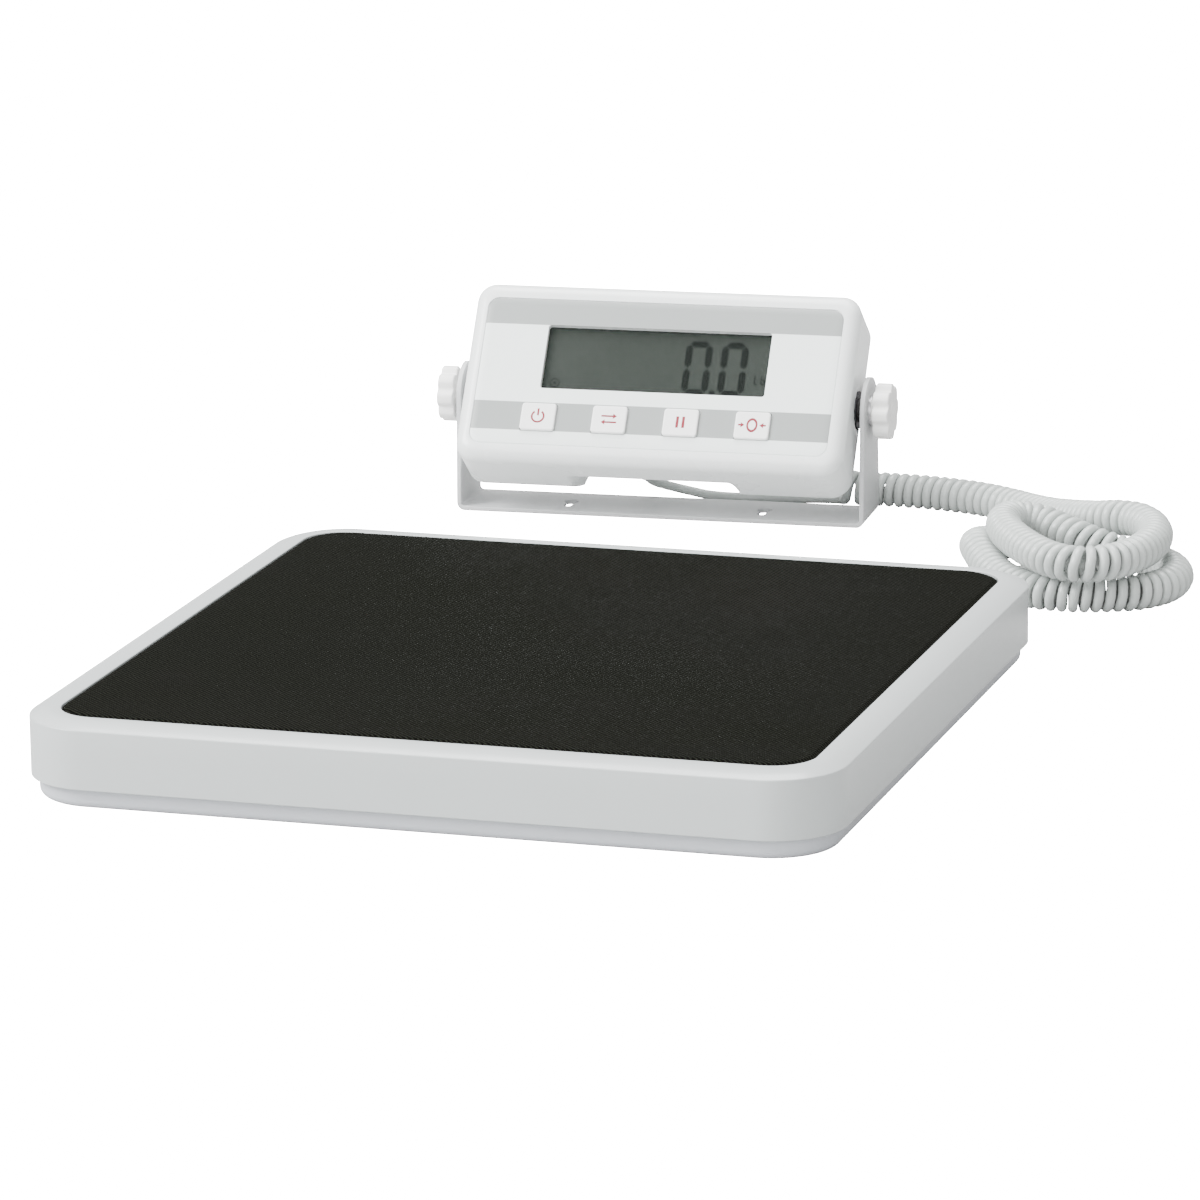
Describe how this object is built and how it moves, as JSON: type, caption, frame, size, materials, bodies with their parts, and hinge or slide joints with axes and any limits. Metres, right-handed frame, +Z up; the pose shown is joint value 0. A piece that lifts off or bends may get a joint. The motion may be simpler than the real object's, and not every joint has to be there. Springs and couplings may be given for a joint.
{
  "type": "animal weighing scale",
  "caption": "Low square weighing platform with a black ribbed mat, joined by a curly cord to a remote display that tilts in a U-shaped stand with side knobs.",
  "frame": {"origin": "on the floor, under the middle of the display's stand", "axes": "+X to the platform's right, +Y to its back, where the display stands, +Z up"},
  "size_m": [0.3487, 0.5439, 0.0948],
  "materials": {
    "cover_plastic": "moulded white ABS, fine satin grain",
    "tray_plastic": "moulded light grey ABS, satin",
    "mat_rubber": "black ribbed rubber",
    "foot_rubber": "moulded black rubber",
    "black_plastic": "black glass-filled nylon",
    "zinc_steel": "zinc-plated steel",
    "screw_steel": "nickel-plated steel",
    "board_green": "green solder mask",
    "component_black": "black epoxy",
    "wire_red": "red PVC insulation",
    "nylon_white": "natural nylon",
    "bracket_paint": "light grey powder coat, fine speckle",
    "housing_plastic": "moulded off-white ABS, semi-gloss",
    "overlay_film": "printed polycarbonate film with grey bands",
    "window_clear": "clear acrylic",
    "lcd_glass": "reflective liquid crystal glass",
    "strip_rubber": "layered silicone contact strip",
    "button_plastic": "white ABS caps",
    "battery_wrap": "plain printed steel can",
    "contact_nickel": "nickel-plated spring steel",
    "knob_plastic": "white moulded nylon",
    "washer_rubber": "black rubber friction washer",
    "cord_grey": "light grey PVC jacket"
  },
  "bodies": {
    "base": {"platform_cover": "cover_plastic", "platform_mat": "mat_rubber", "stiffener_plate": "zinc_steel", "base_tray": "tray_plastic", "load_cell_seats": "black_plastic", "load_cell_front_left": "zinc_steel", "load_cell_front_right": "zinc_steel", "load_cell_back_left": "zinc_steel", "load_cell_back_right": "zinc_steel", "foot_front_left": "black_plastic", "foot_front_right": "black_plastic", "foot_back_left": "black_plastic", "foot_back_right": "black_plastic", "pad_front_left": "foot_rubber", "pad_front_right": "foot_rubber", "pad_back_left": "foot_rubber", "pad_back_right": "foot_rubber", "base_screws": "screw_steel", "junction_board": "board_green", "board_standoffs": "nylon_white", "sensor_wires": "wire_red", "base_cord_gland": "cord_grey", "bracket": "bracket_paint", "cord_lead": "cord_grey", "cord_curly": "cord_grey", "cord_tail": "cord_grey"},
    "head": {"display_bezel": "housing_plastic", "display_back": "housing_plastic", "front_overlay": "overlay_film", "lcd_window": "window_clear", "lcd_panel": "lcd_glass", "lcd_frame": "black_plastic", "contact_strips": "strip_rubber", "main_board": "board_green", "board_components": "component_black", "buzzer": "component_black", "tact_switches": "component_black", "batteries": "battery_wrap", "battery_contacts": "contact_nickel", "shell_screws": "screw_steel", "display_cord_gland": "cord_grey", "pivot_insert_left": "black_plastic", "pivot_insert_right": "black_plastic", "friction_washer_left": "washer_rubber", "friction_washer_right": "washer_rubber"},
    "button_power": {"button_power": "button_plastic"},
    "button_units": {"button_units": "button_plastic"},
    "button_hold": {"button_hold": "button_plastic"},
    "button_zero": {"button_zero": "button_plastic"},
    "battery_door": {"battery_door": "housing_plastic"},
    "washer_left": {"thrust_washer_left": "screw_steel"},
    "washer_right": {"thrust_washer_right": "screw_steel"},
    "knob_left": {"knob_left": "knob_plastic", "knob_stud_left": "screw_steel"},
    "knob_right": {"knob_right": "knob_plastic", "knob_stud_right": "screw_steel"}
  },
  "joints": [
    {"name": "head_tilt", "type": "hinge", "parent": "base", "child": "head", "pos_m": [0, 0, 0.0475], "axis": [-0.9981, -0.061, 0], "range_deg": [-30, 40], "deforming": ["cord_lead"]},
    {"name": "press_power", "type": "slide", "parent": "head", "child": "button_power", "axis": [-0.049, 0.8013, -0.5962], "range_m": [0, 0.0007], "stiffness_N_per_m": 1500, "springref_m": -0.0002},
    {"name": "press_units", "type": "slide", "parent": "head", "child": "button_units", "axis": [-0.049, 0.8013, -0.5962], "range_m": [0, 0.0007], "stiffness_N_per_m": 1500, "springref_m": -0.0002},
    {"name": "press_hold", "type": "slide", "parent": "head", "child": "button_hold", "axis": [-0.049, 0.8013, -0.5962], "range_m": [0, 0.0007], "stiffness_N_per_m": 1500, "springref_m": -0.0002},
    {"name": "press_zero", "type": "slide", "parent": "head", "child": "button_zero", "axis": [-0.049, 0.8013, -0.5962], "range_m": [0, 0.0007], "stiffness_N_per_m": 1500, "springref_m": -0.0002},
    {"name": "battery_door_open", "type": "hinge", "parent": "head", "child": "battery_door", "pos_m": [0.03392, 0.03508, 0.06666], "axis": [0.9981, 0.061, 0], "range_deg": [0, 95]},
    {"name": "washer_left_slide", "type": "slide", "parent": "base", "child": "washer_left", "axis": [-0.9981, -0.061, 0], "range_m": [0, 0.003]},
    {"name": "knob_left_turn", "type": "hinge", "parent": "washer_left", "child": "knob_left", "pos_m": [0, 0, 0.0475], "axis": [-0.9981, -0.061, 0], "range_deg": [0, 1080]},
    {"name": "washer_right_slide", "type": "slide", "parent": "base", "child": "washer_right", "axis": [0.9981, 0.061, 0], "range_m": [0, 0.003]},
    {"name": "knob_right_turn", "type": "hinge", "parent": "washer_right", "child": "knob_right", "pos_m": [0, 0, 0.0475], "axis": [0.9981, 0.061, 0], "range_deg": [0, 1080]}
  ],
  "couplings": [
    {"joint": "knob_left_turn", "follows": "washer_left_slide", "rad_per_m": 6283.2},
    {"joint": "knob_right_turn", "follows": "washer_right_slide", "rad_per_m": 6283.2}
  ]
}
